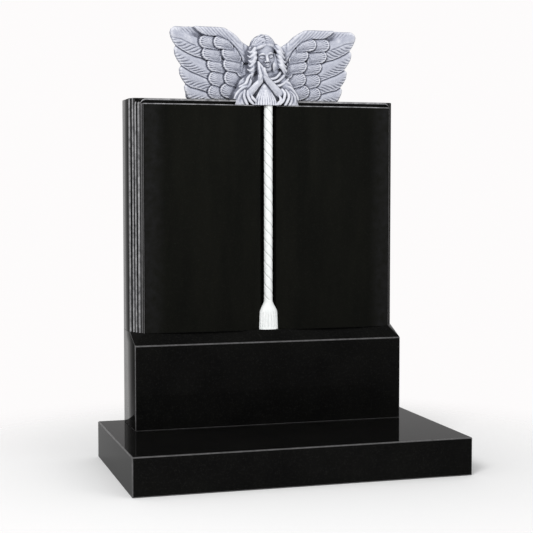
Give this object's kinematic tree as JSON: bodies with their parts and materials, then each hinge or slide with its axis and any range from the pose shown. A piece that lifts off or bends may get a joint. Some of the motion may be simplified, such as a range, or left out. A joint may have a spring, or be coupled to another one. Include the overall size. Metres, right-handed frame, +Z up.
{
  "type": "headstone",
  "caption": "Headstone of dark polished granite: an open book on a plain block and slab base, with a white rope and tassel marker and a grey winged praying angel on top.",
  "frame": {"origin": "centre of the underside of the base slab", "axes": "+Z up, -Y towards someone who faces the book's pages, +X to their right"},
  "size_m": [0.914, 0.52, 1.206],
  "materials": {
    "base_granite": "polished",
    "book_granite": "polished",
    "angel_granite": "matte",
    "white_stone": "satin"
  },
  "bodies": {
    "root": {"base": "base_granite", "book_stone": "book_granite", "angel": "angel_granite", "rope_tassel": "white_stone"}
  },
  "joints": []
}
